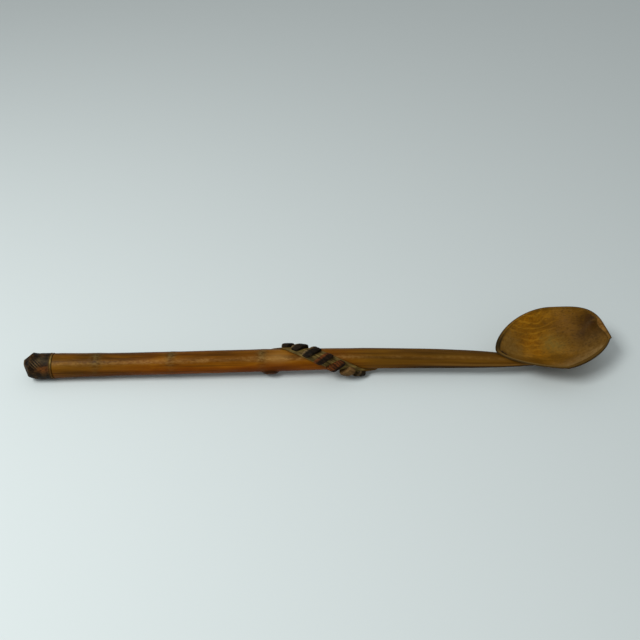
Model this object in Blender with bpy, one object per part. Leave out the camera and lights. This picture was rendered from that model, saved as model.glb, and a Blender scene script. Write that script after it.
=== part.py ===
"""A carved wooden spoon, lying on its bowl and its butt.

A stick handle carries a capped butt, a studded spiral band and a pegged bowl. X runs from the butt to the bowl's
tip, Y across, Z up. The handle's pieces are sections across X, set out by distance from the butt and by angle
round the handle: 0 is the top, and a quarter turn is the side at -Y. The bowl has its own frame: u from its heel
to its tip, v across, w up from the level of its sides.
"""

import math

import bmesh
import bpy
from mathutils import Euler, Vector

MM = 0.001

# Clearance between pieces that touch.
GAP = 0.3 * MM

# Corners that a cut leaves closer together than this become one.
SLIVER = 0.02 * MM

# Butt cap and collar.
CAP_LENGTH = 15.6 * MM
CAP_RADIUS = 7.8 * MM
CAP_REST_DEPTH = 0.3 * MM
CAP_FACETS = 7
CAP_FACET_LENGTH = 3.5 * MM
CAP_FACET_UNEVEN = 0.85 * MM
CAP_TIP_RADIUS = 2.4 * MM
CAP_TIP_RAISE = 2.4 * MM
COLLAR_THICKNESS = 1.2 * MM
COLLAR_PROUD = 0.2 * MM
TENON_LENGTH = 10.0 * MM
TENON_RADIUS = 4.5 * MM
TENON_CHAMFER = 0.6 * MM

# Lengths along the handle, from the collar to the bowl's heel.
COLLAR_TO_GRIP = 41.4 * MM
GRIP_TO_MIDDLE = 81.0 * MM
MIDDLE_TO_SHANK = 72.0 * MM
SHANK_TO_WAIST = 42.0 * MM
WAIST_TO_NECK = 26.4 * MM

# Handle sections: half widths and half heights, down to the end seated under the bowl.
BUTT_RADIUS = 7.5 * MM
GRIP_RADIUS = 6.85 * MM
MIDDLE_RADIUS = 6.7 * MM
SHANK_HALF_WIDTH = 6.1 * MM
SHANK_HALF_HEIGHT = 5.8 * MM
WAIST_HALF_WIDTH = 5.9 * MM
WAIST_HALF_HEIGHT = 4.9 * MM
NECK_HALF_WIDTH = 5.2 * MM
NECK_HALF_HEIGHT = 3.6 * MM
NECK_SQUARENESS = 2.4
SEAT_HALF_WIDTH = 3.2 * MM
SEAT_HALF_HEIGHT = 2.2 * MM
SEAT_SHORT_OF_DEEPEST = 16.0 * MM

# The stick's natural bend.
HANDLE_BOW = 2.2 * MM
HANDLE_BOW_SKEW = 2.2
HANDLE_ARCH = 0.8 * MM
NECK_ASIDE = 3.6 * MM

# Stub of a trimmed twig under the handle, measured from the collar.
STUB_FROM_COLLAR = 128.4 * MM
STUB_ANGLE = math.radians(150)
STUB_RADIUS = 4.6 * MM
STUB_HEIGHT = 1.7 * MM

# Spiral band: a strip with a row of lugs. Its width is measured along the handle.
BAND_FROM_COLLAR = 160.0 * MM
BAND_CENTRE_ANGLE = math.radians(48)
BAND_START = math.radians(-85)
BAND_TURN = math.radians(260)
BAND_PITCH = 89.0 * MM
BAND_WIDTH = 19.0 * MM
BAND_THICKNESS = 1.4 * MM
BAND_CROWN = 0.35
BAND_END_TURN = math.radians(25)
BAND_END_WIDTH = 0.3
LUG_COUNT = 7
LUG_WORN = 6
LUG_START = math.radians(-37.7)
LUG_STEP = math.radians(28.6)
LUG_SQUARENESS = 4.5
LUG_LENGTH = 4.2 * MM
LUG_HEIGHT_FIRST = 1.9 * MM
LUG_HEIGHT_LAST = 2.6 * MM
LUG_INSET = 0.2 * MM
LUG_LEAN = math.radians(31)

# Bowl. The rim dips at the heel and at the tip. The heel is skewed to the near side, and the tip has a small beak.
BOWL_LENGTH = 71.7 * MM
BOWL_HALF_WIDTH = 24.1 * MM
BOWL_DEPTH = 22.0 * MM
BOWL_DEEPEST = 38.6 * MM
BOWL_FLOOR = 4.0 * MM
BOWL_REST_DEPTH = 0.9 * MM
HEEL_FAR_FULLNESS = 1.85
HEEL_NEAR_FULLNESS = 1.4
HEEL_SKEW = 5.0 * MM
TIP_FAR_FULLNESS = 3.8
TIP_NEAR_FULLNESS = 1.43
BEAK_LENGTH = 1.45 * MM
BEAK_SPREAD = 0.09
BOWL_LOPSIDE = 0.3 * MM
HEEL_DIP = 5.9 * MM
TIP_DIP = 3.35 * MM
SIDE_WALL = 1.5 * MM
HEEL_WALL = 2.4 * MM
LIP_WALL = 4.6 * MM
LIP_TURN = 0.24
LIP_SPREAD = 0.22
RIM_EDGE = 0.5 * MM
HULL_POWER_SIDE = 1.4
HULL_POWER_TIP = 2.13
HOLLOW_POWER_SIDE = 1.9
HOLLOW_POWER_TIP = 2.3

# How the bowl sits on the handle.
HEEL_RISE = 5.05 * MM
HEEL_ASIDE = 2.75 * MM
BOWL_YAW = math.radians(3.8)
BOWL_PITCH = math.radians(-0.8)
BOWL_ROLL = math.radians(10.3)

# Pegs through the heel into the handle.
PEG_RADIUS = 0.65 * MM
PEG_LENGTH = 5.0 * MM
PEG_BELOW_RIM = 1.4 * MM
PEG_TURN_FAR = 0.10
PEG_TURN_NEAR = 0.27
PEG_PROUD = 0.5 * MM

# Fineness of the facets.
SHAFT_SIDES = 28
SHAFT_STEP = 7.0 * MM
STUB_STEP = 1.8 * MM
CAP_SIDES = 28
BAND_STEPS = 44
LUG_SIDES = 20
BOWL_SIDES = 64
PEG_SIDES = 14

# Places along X that follow from the lengths.
collar_start = CAP_LENGTH + GAP
shoulder = collar_start + COLLAR_THICKNESS + GAP
grip = shoulder + COLLAR_TO_GRIP
middle = grip + GRIP_TO_MIDDLE
shank = middle + MIDDLE_TO_SHANK
waist = shank + SHANK_TO_WAIST
neck = waist + WAIST_TO_NECK
handle_end = neck + BOWL_DEEPEST - SEAT_SHORT_OF_DEEPEST


def between(x, points):
    """A smooth value at x through (x, value) points, level beyond the first and the last."""
    if x <= points[0][0]:
        return points[0][1]
    if x >= points[-1][0]:
        return points[-1][1]
    last = len(points) - 1
    i = max(k for k in range(last) if points[k][0] <= x)

    def slope(k):
        before = points[max(k - 1, 0)]
        after = points[min(k + 1, last)]
        return (after[1] - before[1]) / (after[0] - before[0])

    (x0, y0), (x1, y1) = points[i], points[i + 1]
    span = x1 - x0
    t = (x - x0) / span
    rise = (2 * t**3 - 3 * t**2 + 1) * y0 + (3 * t**2 - 2 * t**3) * y1
    return rise + span * ((t**3 - 2 * t**2 + t) * slope(i) + (t**3 - t**2) * slope(i + 1))


def signed_power(value, power):
    return math.copysign(abs(value)**power, value)


# The bowl's own shape

def outline(theta, inset=0.0):
    """Plan point (u, v) of the rim's outer edge, moved in towards the deepest point by inset."""
    along, across = math.cos(theta), math.sin(theta)
    reach, skew = BOWL_DEEPEST, HEEL_SKEW
    fullness = HEEL_FAR_FULLNESS if across > 0 else HEEL_NEAR_FULLNESS
    if along > 0:
        reach, skew = BOWL_LENGTH - BOWL_DEEPEST - BEAK_LENGTH, 0.0
        fullness = TIP_FAR_FULLNESS if across > 0 else TIP_NEAR_FULLNESS
    from_tip = abs(math.remainder(theta, 2 * math.pi))
    u = reach * signed_power(along, 2 / fullness) + BEAK_LENGTH * math.exp(-from_tip / BEAK_SPREAD)
    v = BOWL_HALF_WIDTH * signed_power(across, 2 / fullness) + BOWL_LOPSIDE * across**2 - skew * along**2
    share = 1 - inset / math.hypot(u, v)
    return BOWL_DEEPEST + share * u, share * v


def heelward(theta):
    return (1 - math.cos(theta)) / 2


def tipward(theta):
    return (1 + math.cos(theta)) / 2


def rim_level(theta):
    return -HEEL_DIP * heelward(theta)**3 - TIP_DIP * tipward(theta)**3


def wall(theta):
    """Width of the rim: wide at the heel for the pegs, and at the lip beside the tip."""
    heel = (HEEL_WALL - SIDE_WALL) * heelward(theta)**6
    from_lip = math.remainder(theta - LIP_TURN, 2 * math.pi)
    lip = (LIP_WALL - SIDE_WALL) * math.exp(-(from_lip / LIP_SPREAD)**2)
    return SIDE_WALL + heel + lip


def hull_point(theta, share, grow=0.0):
    """Point of the outside at a share of the way from the deepest point to the rim."""
    u, v = outline(theta, -grow)
    power = HULL_POWER_SIDE + (HULL_POWER_TIP - HULL_POWER_SIDE) * tipward(theta)**2
    floor = -BOWL_DEPTH - grow
    top = rim_level(theta) - RIM_EDGE
    return Vector((BOWL_DEEPEST + share * (u - BOWL_DEEPEST), share * v, floor + (top - floor) * share**power))


def hollow_point(theta, share):
    """Point of the inside at a share of the way from the deepest point to the rim."""
    u, v = outline(theta, wall(theta))
    power = HOLLOW_POWER_SIDE + (HOLLOW_POWER_TIP - HOLLOW_POWER_SIDE) * tipward(theta)**2
    floor = BOWL_FLOOR - BOWL_DEPTH
    top = rim_level(theta) - RIM_EDGE
    return Vector((BOWL_DEEPEST + share * (u - BOWL_DEEPEST), share * v, floor + (top - floor) * share**power))


def rim_point(theta, inset):
    return Vector((*outline(theta, inset), rim_level(theta)))


# Directions round the bowl, closer together near the beak.
bowl_thetas = [2 * math.pi * i / BOWL_SIDES for i in range(BOWL_SIDES)]
bowl_thetas = [theta - 0.4 * math.sin(theta) for theta in bowl_thetas]

# The bowl's place: its heel on the handle, and its lowest point just below the table to leave a flat.
bowl_turn = Euler((BOWL_ROLL, -BOWL_PITCH, BOWL_YAW)).to_matrix()
heel_point = rim_point(math.pi, 0.0)
hull_shares = (0.0, 0.1, 0.2, 0.32, 0.45, 0.58, 0.7, 0.81, 0.91, 1.0)
lowest = min((bowl_turn @ (hull_point(theta, share) - heel_point)).z for theta in bowl_thetas for share in hull_shares)
heel_height = -lowest - BOWL_REST_DEPTH
neck_height = heel_height - HEEL_RISE
butt_height = CAP_RADIUS - CAP_REST_DEPTH


def in_bowl(point):
    """A point of the bowl's own frame, placed on the spoon."""
    heel = Vector((neck, axis_y(neck) + HEEL_ASIDE, heel_height))
    return heel + bowl_turn @ (point - heel_point)


# The handle's shape

def axis_y(x):
    share = x / neck
    return NECK_ASIDE * share + HANDLE_BOW * math.sin(math.pi * share**HANDLE_BOW_SKEW)


def axis_z(x):
    share = x / neck
    return butt_height + (neck_height - butt_height) * share + HANDLE_ARCH * math.sin(math.pi * share)


half_widths = [
    (shoulder, BUTT_RADIUS),
    (grip, GRIP_RADIUS),
    (middle, MIDDLE_RADIUS),
    (shank, SHANK_HALF_WIDTH),
    (waist, WAIST_HALF_WIDTH),
    (neck, NECK_HALF_WIDTH),
    (handle_end, SEAT_HALF_WIDTH),
]
half_heights = [
    (shoulder, BUTT_RADIUS),
    (grip, GRIP_RADIUS),
    (middle, MIDDLE_RADIUS),
    (shank, SHANK_HALF_HEIGHT),
    (waist, WAIST_HALF_HEIGHT),
    (neck, NECK_HALF_HEIGHT),
    (handle_end, SEAT_HALF_HEIGHT),
]
squarenesses = [(middle, 2.0), (neck, NECK_SQUARENESS)]
stub_at = shoulder + STUB_FROM_COLLAR


def stub_lift(x, angle):
    """How far the twig stub stands out of the handle."""
    aside = math.remainder(angle - STUB_ANGLE, 2 * math.pi) * MIDDLE_RADIUS
    return STUB_HEIGHT * math.exp(-(math.hypot(x - stub_at, aside) / STUB_RADIUS)**6)


def shaft_radius(x, angle):
    power = between(x, squarenesses)
    tall = abs(math.cos(angle) / between(x, half_heights))**power
    wide = abs(math.sin(angle) / between(x, half_widths))**power
    return (tall + wide)**(-1 / power) + stub_lift(x, angle)


def around_axis(x, angle, radius):
    return Vector((x, axis_y(x) - radius * math.sin(angle), axis_z(x) + radius * math.cos(angle)))


def on_shaft(x, angle, lift):
    return around_axis(x, angle, shaft_radius(x, angle) + lift)


def round_ring(x, radius, sides):
    return [around_axis(x, 2 * math.pi * i / sides, radius) for i in range(sides)]


# The band's route

def band_x(angle):
    return shoulder + BAND_FROM_COLLAR + BAND_PITCH * (angle - BAND_CENTRE_ANGLE) / (2 * math.pi)


def band_fullness(angle):
    """1 along the band, falling to nothing at its ends."""
    from_end = min(angle - BAND_START, BAND_START + BAND_TURN - angle)
    return math.sin(math.pi / 2 * min(max(from_end / BAND_END_TURN, 0), 1))


def band_half_width(angle):
    return BAND_WIDTH / 2 * (BAND_END_WIDTH + (1 - BAND_END_WIDTH) * band_fullness(angle))


def band_top(x, angle):
    """Height of the strip's crowned top above the handle."""
    across = (x - band_x(angle)) / band_half_width(angle)
    return GAP + BAND_THICKNESS * (1 - BAND_CROWN * min(across**2, 1))


# Meshes

def material(name, colour, roughness):
    made = bpy.data.materials.new(name)
    made.use_nodes = True
    shader = made.node_tree.nodes["Principled BSDF"]
    shader.inputs["Base Color"].default_value = (*colour, 1)
    shader.inputs["Roughness"].default_value = roughness
    return made


def add_object(name, mesh_data, finish=None):
    bmesh.ops.recalc_face_normals(mesh_data, faces=mesh_data.faces)
    mesh = bpy.data.meshes.new(name)
    mesh_data.to_mesh(mesh)
    mesh_data.free()
    made = bpy.data.objects.new(name, mesh)
    bpy.context.scene.collection.objects.link(made)
    if finish is None:
        made.hide_render = True
        made.display_type = "WIRE"
    else:
        mesh.materials.append(finish)
    return made


def loft(rings, closed=False):
    """Skin over rings of points. The ends are filled, or joined to each other if closed."""
    skin = bmesh.new()
    loops = [[skin.verts.new(point) for point in ring] for ring in rings]
    pairs = list(zip(loops, loops[1:]))
    if closed:
        pairs.append((loops[-1], loops[0]))
    else:
        skin.faces.new(loops[0])
        skin.faces.new(loops[-1])
    for first, second in pairs:
        for i in range(len(first)):
            j = (i + 1) % len(first)
            skin.faces.new((first[i], first[j], second[j], second[i]))
    return skin


def slice_off(skin, point, outward):
    """Cut away what lies beyond a plane and close the cut."""
    everything = skin.verts[:] + skin.edges[:] + skin.faces[:]
    bmesh.ops.bisect_plane(skin, geom=everything, plane_co=point, plane_no=outward, clear_outer=True)
    bmesh.ops.holes_fill(skin, edges=[edge for edge in skin.edges if edge.is_boundary])


def trim_to_table(skin):
    """Wear a flat on a piece that the spoon rests on."""
    slice_off(skin, Vector((0, 0, 0)), Vector((0, 0, -1)))


def subtract(target, cutter):
    cut = target.modifiers.new(cutter.name, "BOOLEAN")
    cut.operation = "DIFFERENCE"
    cut.solver = "EXACT"
    cut.object = cutter


def clean_cuts(target):
    weld = target.modifiers.new("clean_cuts", "WELD")
    weld.merge_threshold = SLIVER


def upright_rod(centre, levels):
    """Rings of an upright round rod through (height, radius) levels."""
    turns = [2 * math.pi * i / PEG_SIDES for i in range(PEG_SIDES)]
    return [
        [Vector((centre.x + r * math.cos(t), centre.y + r * math.sin(t), z)) for t in turns]
        for z, r in levels
    ]


# Pieces

def make_cap(finish):
    bore = TENON_RADIUS + GAP
    bore_end = CAP_LENGTH - TENON_LENGTH - GAP
    skin = loft([
        round_ring(0.0, CAP_RADIUS, CAP_SIDES),
        round_ring(CAP_LENGTH, CAP_RADIUS, CAP_SIDES),
        round_ring(CAP_LENGTH, bore, CAP_SIDES),
        round_ring(bore_end, bore, CAP_SIDES),
    ])
    for i in range(CAP_FACETS):
        angle = 2 * math.pi * (i + 0.5) / CAP_FACETS
        start = around_axis(CAP_FACET_LENGTH + CAP_FACET_UNEVEN * math.cos(angle), angle, CAP_RADIUS)
        end = around_axis(0.0, angle, CAP_TIP_RADIUS) + Vector((0, 0, CAP_TIP_RAISE))
        along_facet = Vector((0, -math.cos(angle), -math.sin(angle)))
        outward = along_facet.cross(end - start)
        if outward.x > 0:
            outward.negate()
        slice_off(skin, start, outward)
    trim_to_table(skin)
    return add_object("butt_cap", skin, finish)


def make_collar(finish):
    ends = (collar_start, collar_start + COLLAR_THICKNESS)
    inner = TENON_RADIUS + GAP
    outer = BUTT_RADIUS + COLLAR_PROUD
    corners = [(ends[0], inner), (ends[0], outer), (ends[1], outer), (ends[1], inner)]
    skin = loft([round_ring(x, radius, CAP_SIDES) for x, radius in corners], closed=True)
    trim_to_table(skin)
    return add_object("cap_collar", skin, finish)


def make_handle(finish):
    tenon_end = CAP_LENGTH - TENON_LENGTH
    rings = [
        round_ring(tenon_end, TENON_RADIUS - TENON_CHAMFER, SHAFT_SIDES),
        round_ring(tenon_end + TENON_CHAMFER, TENON_RADIUS, SHAFT_SIDES),
        round_ring(shoulder, TENON_RADIUS, SHAFT_SIDES),
    ]
    places = [shoulder]
    while places[-1] < handle_end:
        close_to_stub = abs(places[-1] - stub_at) < STUB_RADIUS * 2
        step = STUB_STEP if close_to_stub else SHAFT_STEP
        places.append(min(places[-1] + step, handle_end))
    turns = [2 * math.pi * i / SHAFT_SIDES for i in range(SHAFT_SIDES)]
    rings += [[on_shaft(x, turn, 0.0) for turn in turns] for x in places]
    return add_object("handle_shaft", loft(rings), finish)


def make_band(finish):
    across = (-1.0, -0.8, -0.4, 0.0, 0.4, 0.8, 1.0)
    rings = []
    for i in range(BAND_STEPS + 1):
        angle = BAND_START + BAND_TURN * i / BAND_STEPS
        places = [band_x(angle) + share * band_half_width(angle) for share in across]
        top = [on_shaft(x, angle, band_top(x, angle)) for x in places]
        under = [on_shaft(x, angle, GAP) for x in reversed(places)]
        rings.append(top + under)
    return add_object("spiral_band", loft(rings), finish)


def make_lug(number, finish):
    centre_angle = LUG_START + LUG_STEP * (number - 1)
    centre_x = band_x(centre_angle)
    level = shaft_radius(centre_x, centre_angle) + GAP + BAND_THICKNESS
    slope = math.atan2(level, BAND_PITCH / (2 * math.pi))
    along_band = Vector((math.cos(slope), math.sin(slope)))
    across_turn = math.pi / 2 - slope - LUG_LEAN
    across_band = Vector((math.cos(across_turn), -math.sin(across_turn)))
    half_band = band_half_width(centre_angle) * math.sin(slope) - LUG_INSET
    half_across = half_band / math.cos(LUG_LEAN)
    down_band = (number - 1) / (LUG_COUNT - 1)
    height = LUG_HEIGHT_FIRST + (LUG_HEIGHT_LAST - LUG_HEIGHT_FIRST) * down_band
    # Loops of the lug from the middle of its underside to the crown: share of its outline, share of its height.
    loops = [(0.5, 0.0), (1.0, 0.0), (1.0, 0.62), (0.93, 0.88), (0.8, 0.97), (0.3, 1.0)]
    rings = []
    for size, rise in loops:
        ring = []
        for i in range(LUG_SIDES):
            turn = 2 * math.pi * i / LUG_SIDES
            # A rounded rectangle, by a superellipse.
            cosine, sine = math.cos(turn), math.sin(turn)
            p = signed_power(cosine, 2 / LUG_SQUARENESS) * size * LUG_LENGTH / 2
            q = signed_power(sine, 2 / LUG_SQUARENESS) * size * half_across
            moved = p * along_band + q * across_band
            x = centre_x + moved.x
            angle = centre_angle + moved.y / level
            ring.append(on_shaft(x, angle, band_top(x, angle) + GAP + rise * height))
        rings.append(ring)
    return add_object(f"band_lug_{number:02d}", loft(rings), finish)


def bowl_skin(inside, grow=0.0):
    """The outside of the bowl, up to its rim, and then its inside or a lid above it."""
    skin = bmesh.new()

    def loop(shape):
        return [skin.verts.new(in_bowl(shape(theta))) for theta in bowl_thetas]

    bottom = skin.verts.new(in_bowl(hull_point(0.0, 0.0, grow)))
    loops = [loop(lambda theta, s=s: hull_point(theta, s, grow)) for s in hull_shares[1:]]
    if inside:
        loops.append(loop(lambda theta: rim_point(theta, RIM_EDGE)))
        loops.append(loop(lambda theta: rim_point(theta, wall(theta) - RIM_EDGE)))
        loops += [loop(lambda theta, s=s: hollow_point(theta, s)) for s in reversed(hull_shares[1:])]
        top = skin.verts.new(in_bowl(hollow_point(0.0, 0.0)))
    else:
        lid = Vector((0, 0, HEEL_DIP + TIP_DIP))
        loops.append(loop(lambda theta: hull_point(theta, 1.0, grow) + lid))
        top = skin.verts.new(in_bowl(Vector((BOWL_DEEPEST, 0, 0)) + lid))
    for i in range(BOWL_SIDES):
        j = (i + 1) % BOWL_SIDES
        skin.faces.new((bottom, loops[0][i], loops[0][j]))
        skin.faces.new((top, loops[-1][j], loops[-1][i]))
        for first, second in zip(loops, loops[1:]):
            skin.faces.new((first[i], first[j], second[j], second[i]))
    return skin


def make_bowl(finish):
    skin = bowl_skin(inside=True)
    trim_to_table(skin)
    return add_object("bowl", skin, finish)


def make_peg(name, turn, finish):
    """A peg and the cutter for its hole, inside the heel and over the handle. Turn is from the heel's point."""
    theta = math.pi + turn
    edge = hollow_point(theta, 1.0)
    share = 1 - PEG_BELOW_RIM / math.hypot(edge.x - BOWL_DEEPEST, edge.y)
    top = in_bowl(hollow_point(theta, share))
    foot = top.z - PEG_LENGTH
    peg = loft(upright_rod(top, [
        (foot, PEG_RADIUS * 0.6),
        (foot + PEG_RADIUS * 0.6, PEG_RADIUS),
        (top.z + PEG_PROUD, PEG_RADIUS),
        (top.z + PEG_PROUD + PEG_RADIUS * 0.2, PEG_RADIUS * 0.7),
    ]))
    bore = PEG_RADIUS + GAP
    hole = loft(upright_rod(top, [(foot - GAP, bore), (top.z + HEEL_DIP, bore)]))
    return add_object(name, peg, finish), add_object(name + "_hole", hole)


def stand_on_origin(pieces):
    """Hang the pieces on one empty, so that the middle of the spoon's footprint is the origin."""
    points = [vertex.co for piece in pieces for vertex in piece.data.vertices if not piece.hide_render]
    low = [min(point[i] for point in points) for i in range(3)]
    high = [max(point[i] for point in points) for i in range(3)]
    spoon = bpy.data.objects.new("spoon", None)
    bpy.context.scene.collection.objects.link(spoon)
    spoon.location = (-(low[0] + high[0]) / 2, -(low[1] + high[1]) / 2, -low[2])
    for piece in pieces:
        piece.parent = spoon


def main():
    for old in list(bpy.data.objects):
        bpy.data.objects.remove(old)
    stick = material("stick_wood", (0.19, 0.085, 0.025), 0.35)
    dark = material("cap_wood", (0.055, 0.028, 0.016), 0.5)
    pale = material("collar_wood", (0.36, 0.24, 0.12), 0.55)
    strip = material("band_wood", (0.24, 0.17, 0.08), 0.6)
    burnt = material("lug_burnt", (0.03, 0.018, 0.014), 0.45)
    worn = material("lug_worn", (0.26, 0.16, 0.06), 0.5)
    carved = material("bowl_wood", (0.16, 0.085, 0.022), 0.5)
    pegwood = material("peg_wood", (0.05, 0.028, 0.014), 0.6)

    cap = make_cap(dark)
    collar = make_collar(pale)
    handle = make_handle(stick)
    band = make_band(strip)
    lugs = [make_lug(n, worn if n == LUG_WORN else burnt) for n in range(1, LUG_COUNT + 1)]
    bowl = make_bowl(carved)
    far_peg, far_hole = make_peg("bowl_peg_far", PEG_TURN_FAR, pegwood)
    near_peg, near_hole = make_peg("bowl_peg_near", PEG_TURN_NEAR, pegwood)

    # The handle's end is cut to the outside of the bowl that sits on it.
    seat = add_object("bowl_seat", bowl_skin(inside=False, grow=GAP))
    for hole in (far_hole, near_hole):
        subtract(handle, hole)
        subtract(bowl, hole)
    subtract(handle, seat)
    clean_cuts(handle)
    clean_cuts(bowl)
    stand_on_origin([cap, collar, handle, band, *lugs, bowl, far_peg, near_peg, far_hole, near_hole, seat])


main()
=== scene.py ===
"""A carved wooden spoon on a pale table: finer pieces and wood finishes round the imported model.

The shapes repeat the part's own sizes and formulas. They add small things that the part leaves out: nodes and
whittled flats on the handle, softened edges, slimmer ends on the strip, taller lugs, a wider near rim and an
uneven hollow. X runs from the butt to the bowl's tip, Y across, Z up. Places along the handle are distances
from the butt, and angles round it start at the top and go towards -Y. The bowl has its own frame: u from its
heel to its tip, v across, w up from the level of its sides.
"""

import math
from collections import namedtuple

import bmesh
import bpy
from mathutils import Euler, Matrix, Vector, noise


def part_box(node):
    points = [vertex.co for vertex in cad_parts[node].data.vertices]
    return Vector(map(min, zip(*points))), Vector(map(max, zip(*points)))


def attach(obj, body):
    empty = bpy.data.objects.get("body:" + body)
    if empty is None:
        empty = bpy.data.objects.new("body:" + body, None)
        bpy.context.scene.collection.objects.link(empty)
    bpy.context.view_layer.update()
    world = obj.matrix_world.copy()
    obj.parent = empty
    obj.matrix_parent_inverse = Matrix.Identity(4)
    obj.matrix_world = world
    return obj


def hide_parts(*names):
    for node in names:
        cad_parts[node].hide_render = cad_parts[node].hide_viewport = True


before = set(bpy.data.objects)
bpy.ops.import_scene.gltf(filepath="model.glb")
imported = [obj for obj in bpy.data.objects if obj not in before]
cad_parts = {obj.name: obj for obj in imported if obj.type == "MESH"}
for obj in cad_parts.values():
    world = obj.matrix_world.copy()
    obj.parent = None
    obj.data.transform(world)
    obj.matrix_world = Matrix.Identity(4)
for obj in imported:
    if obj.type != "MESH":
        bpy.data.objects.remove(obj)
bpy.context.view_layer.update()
scene = bpy.context.scene

MM = 0.001

# Sizes of the part.
GAP = 0.3 * MM
CAP_LENGTH = 15.6 * MM
CAP_RADIUS = 7.8 * MM
CAP_REST_DEPTH = 0.3 * MM
CAP_FACETS = 7
CAP_FACET_LENGTH = 3.5 * MM
CAP_FACET_UNEVEN = 0.85 * MM
CAP_TIP_RADIUS = 2.4 * MM
CAP_TIP_RAISE = 2.4 * MM
COLLAR_THICKNESS = 1.2 * MM
COLLAR_PROUD = 0.2 * MM
TENON_LENGTH = 10.0 * MM
TENON_RADIUS = 4.5 * MM
TENON_CHAMFER = 0.6 * MM
COLLAR_TO_GRIP = 41.4 * MM
GRIP_TO_MIDDLE = 81.0 * MM
MIDDLE_TO_SHANK = 72.0 * MM
SHANK_TO_WAIST = 42.0 * MM
WAIST_TO_NECK = 26.4 * MM
BUTT_RADIUS = 7.5 * MM
GRIP_RADIUS = 6.85 * MM
MIDDLE_RADIUS = 6.7 * MM
SHANK_HALF_WIDTH = 6.1 * MM
SHANK_HALF_HEIGHT = 5.8 * MM
WAIST_HALF_WIDTH = 5.9 * MM
WAIST_HALF_HEIGHT = 4.9 * MM
NECK_HALF_WIDTH = 5.2 * MM
NECK_HALF_HEIGHT = 3.6 * MM
NECK_SQUARENESS = 2.4
SEAT_HALF_WIDTH = 3.2 * MM
SEAT_HALF_HEIGHT = 2.2 * MM
SEAT_SHORT_OF_DEEPEST = 16.0 * MM
HANDLE_BOW = 2.2 * MM
HANDLE_BOW_SKEW = 2.2
HANDLE_ARCH = 0.8 * MM
NECK_ASIDE = 3.6 * MM
STUB_FROM_COLLAR = 128.4 * MM
STUB_ANGLE = math.radians(150)
STUB_RADIUS = 4.6 * MM
STUB_HEIGHT = 1.7 * MM
BAND_FROM_COLLAR = 160.0 * MM
BAND_CENTRE_ANGLE = math.radians(48)
BAND_START = math.radians(-85)
BAND_TURN = math.radians(260)
BAND_PITCH = 89.0 * MM
BAND_WIDTH = 19.0 * MM
BAND_THICKNESS = 1.4 * MM
BAND_CROWN = 0.35
BAND_END_TURN = math.radians(25)
BAND_END_WIDTH = 0.3
LUG_COUNT = 7
LUG_WORN = 6
LUG_START = math.radians(-37.7)
LUG_STEP = math.radians(28.6)
LUG_SQUARENESS = 4.5
LUG_LENGTH = 4.2 * MM
LUG_HEIGHT_FIRST = 1.9 * MM
LUG_HEIGHT_LAST = 2.6 * MM
LUG_INSET = 0.2 * MM
LUG_LEAN = math.radians(31)
BOWL_LENGTH = 71.7 * MM
BOWL_HALF_WIDTH = 24.1 * MM
BOWL_DEPTH = 22.0 * MM
BOWL_DEEPEST = 38.6 * MM
BOWL_FLOOR = 4.0 * MM
BOWL_REST_DEPTH = 0.9 * MM
HEEL_FAR_FULLNESS = 1.85
HEEL_NEAR_FULLNESS = 1.4
HEEL_SKEW = 5.0 * MM
TIP_FAR_FULLNESS = 3.8
TIP_NEAR_FULLNESS = 1.43
BEAK_LENGTH = 1.45 * MM
BEAK_SPREAD = 0.09
BOWL_LOPSIDE = 0.3 * MM
HEEL_DIP = 5.9 * MM
TIP_DIP = 3.35 * MM
SIDE_WALL = 1.5 * MM
HEEL_WALL = 2.4 * MM
LIP_WALL = 4.6 * MM
LIP_TURN = 0.24
LIP_SPREAD = 0.22
RIM_EDGE = 0.5 * MM
HULL_POWER_SIDE = 1.4
HULL_POWER_TIP = 2.13
HOLLOW_POWER_SIDE = 1.9
HOLLOW_POWER_TIP = 2.3
HEEL_RISE = 5.05 * MM
HEEL_ASIDE = 2.75 * MM
BOWL_YAW = math.radians(3.8)
BOWL_PITCH = math.radians(-0.8)
BOWL_ROLL = math.radians(10.3)
PEG_RADIUS = 0.65 * MM
PEG_LENGTH = 5.0 * MM
PEG_BELOW_RIM = 1.4 * MM
PEG_TURN_FAR = 0.10
PEG_TURN_NEAR = 0.27
PEG_PROUD = 0.5 * MM

# Carving and wear that the part leaves to this script.
NODE_STATIONS = (43.0 * MM, 87.0 * MM, 141.0 * MM)
NODE_SHARES = (0.7, 1.0, 0.8)
NODE_SWELL = 0.18 * MM
NODE_LENGTH = 3.5 * MM
NODE_GROOVE = 0.08 * MM
NODE_GROOVE_LENGTH = 0.7 * MM
NODE_GROOVE_BEHIND = 1.5 * MM
FLAT_COUNT = 9
FLAT_DRIFT = 0.5
FLAT_SHARE_GRIP = 0.3
FLAT_SHARE_SHANK = 0.6
SHAFT_UNEVEN = 0.09 * MM
BAND_SLIMMER = 0.5
BAND_SLIM_FAR = (-0.9, 0.3)
BAND_SLIMMER_END = 0.4
BAND_SLIM_NEAR = (1.2, 2.3)
BAND_THINNER = 0.55
BAND_THIN_FAR = (-0.7, -0.1)
BAND_SOFTER = 0.45
BAND_SOFT_FROM = 0.86
BAND_UNEVEN = 0.12 * MM
CAP_ARRIS = 0.16 * MM
CAP_UNEVEN = 0.14 * MM
CAP_CLOSER = 0.2 * MM
LUG_UNEVEN = 0.14 * MM
LUG_CRACKED = 0.12
LUG_MORE_HEIGHTS = [tenths * 0.1 * MM for tenths in (6, 4, 6, 6, 9, 10, 2)]
LUG_ROUNDED = 0.35
LUG_FOOT = 0.08 * MM
LUG_MORE_LENGTH = 0.6 * MM
LUG_REDDENED = (4, 5)
LUG_BARED = (0.4, 0.7, 0.75, 0.8, 0.85, 0.0, 0.4)
LUG_BARED_TO = (-0.7, -0.65, -0.65, -0.5, 0.1, -0.8, -0.7)
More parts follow.
